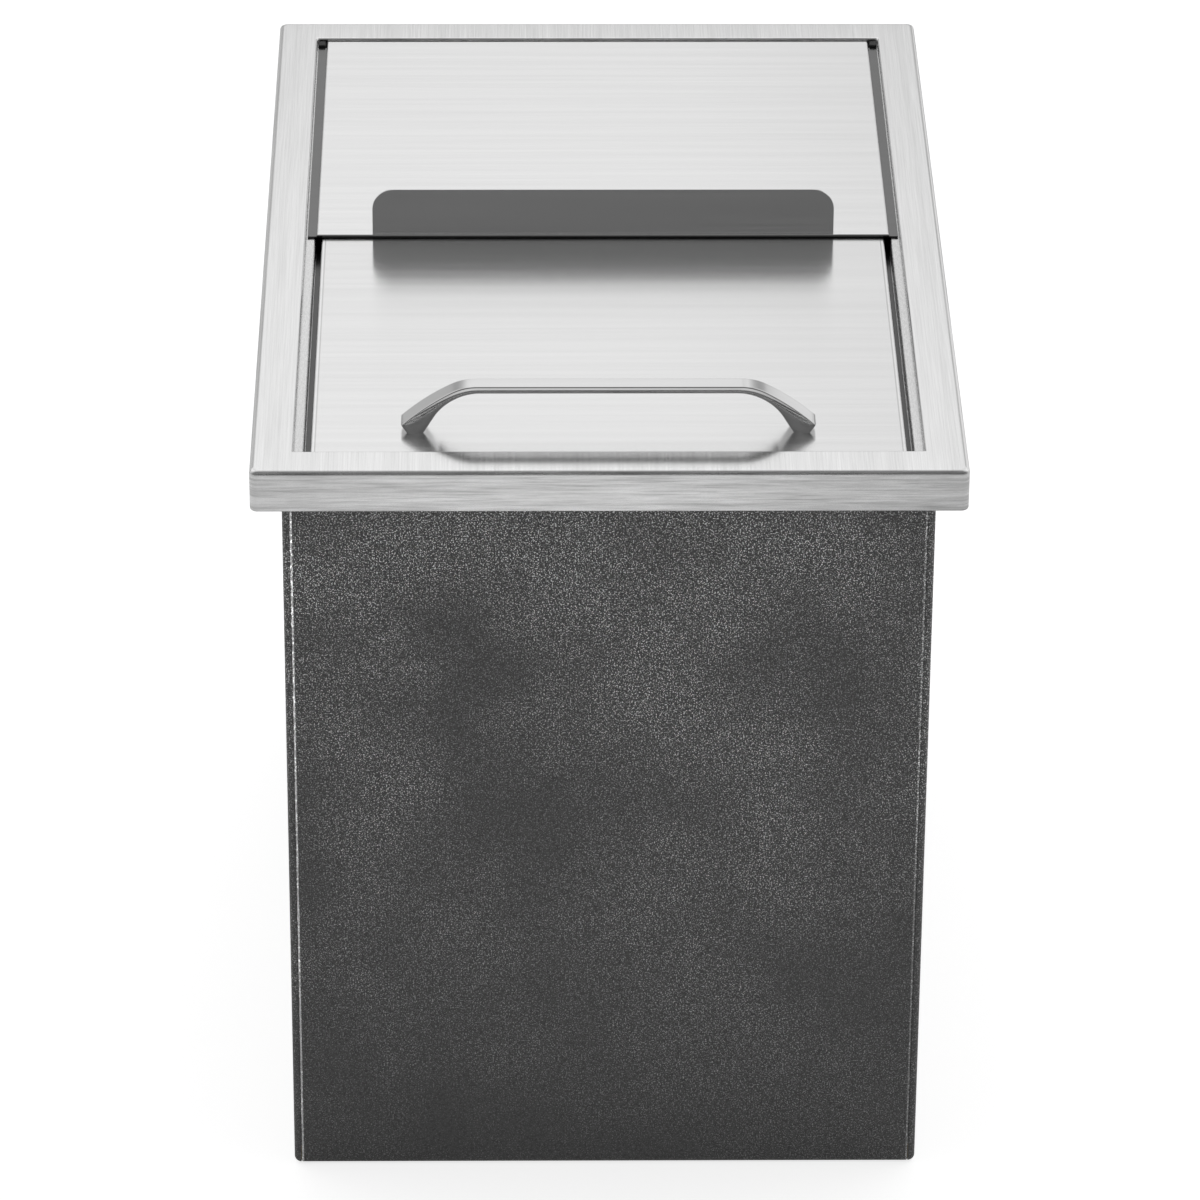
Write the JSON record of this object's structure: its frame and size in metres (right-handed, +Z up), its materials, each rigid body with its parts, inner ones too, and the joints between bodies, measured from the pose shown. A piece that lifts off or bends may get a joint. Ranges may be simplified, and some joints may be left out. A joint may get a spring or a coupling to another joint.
{
  "type": "drop-in ice bin",
  "caption": "Insulated drop-in ice bin for a counter: stainless rim and basin in a painted body, drained through its base, with a handled front cover and an upstand rear cover that slide.",
  "frame": {"origin": "middle of the base, on the floor that the bin stands on before it is dropped in", "axes": "+X to the right, -Y to the front, where the handled cover is, +Z up"},
  "size_m": [0.457, 0.686, 0.5718],
  "materials": {
    "brushed_stainless": "satin",
    "satin_stainless": "satin",
    "polished_stainless": "polished",
    "fastener_steel": "satin",
    "charcoal_powder_coat": "matte",
    "rivet_aluminium": "satin",
    "black_rubber": "matte",
    "plug_rubber": "matte",
    "drain_steel": "polished",
    "drain_brass": "satin",
    "insulating_foam": "matte"
  },
  "bodies": {
    "bin": {"rim_frame": "brushed_stainless", "basin": "satin_stainless", "ledge_ring": "satin_stainless", "left_rail": "brushed_stainless", "right_rail": "brushed_stainless", "rail_stops": "black_rubber", "front_panel": "charcoal_powder_coat", "back_panel": "charcoal_powder_coat", "left_panel": "charcoal_powder_coat", "right_panel": "charcoal_powder_coat", "base_panel": "charcoal_powder_coat", "base_rivets": "rivet_aluminium", "drain_gasket": "black_rubber", "drain_body": "drain_steel", "drain_strainer": "satin_stainless", "drain_washer": "black_rubber", "drain_nut": "drain_brass", "base_foam": "insulating_foam", "wall_foam": "insulating_foam"},
    "front_cover": {"front_cover": "brushed_stainless", "bar_handle": "polished_stainless", "handle_washers": "fastener_steel", "handle_screws": "fastener_steel"},
    "rear_cover": {"rear_cover": "brushed_stainless", "rear_cover_upstand": "brushed_stainless"},
    "plug": {"drain_plug": "plug_rubber"},
    "pull_ring": {"plug_ring": "fastener_steel"}
  },
  "joints": [
    {"name": "front_cover_slide", "type": "slide", "parent": "bin", "child": "front_cover", "axis": [0, 1, 0], "range_m": [0, 0.158]},
    {"name": "rear_cover_slide", "type": "slide", "parent": "bin", "child": "rear_cover", "axis": [0, -1, 0], "range_m": [0, 0.104]},
    {"name": "plug_lift", "type": "slide", "parent": "bin", "child": "plug", "axis": [0, 0, 1], "range_m": [0, 0.1]},
    {"name": "pull_ring_turn", "type": "hinge", "parent": "plug", "child": "pull_ring", "pos_m": [0, 0, 0.0439], "axis": [0, -1, 0], "range_deg": [0, 198]}
  ]
}
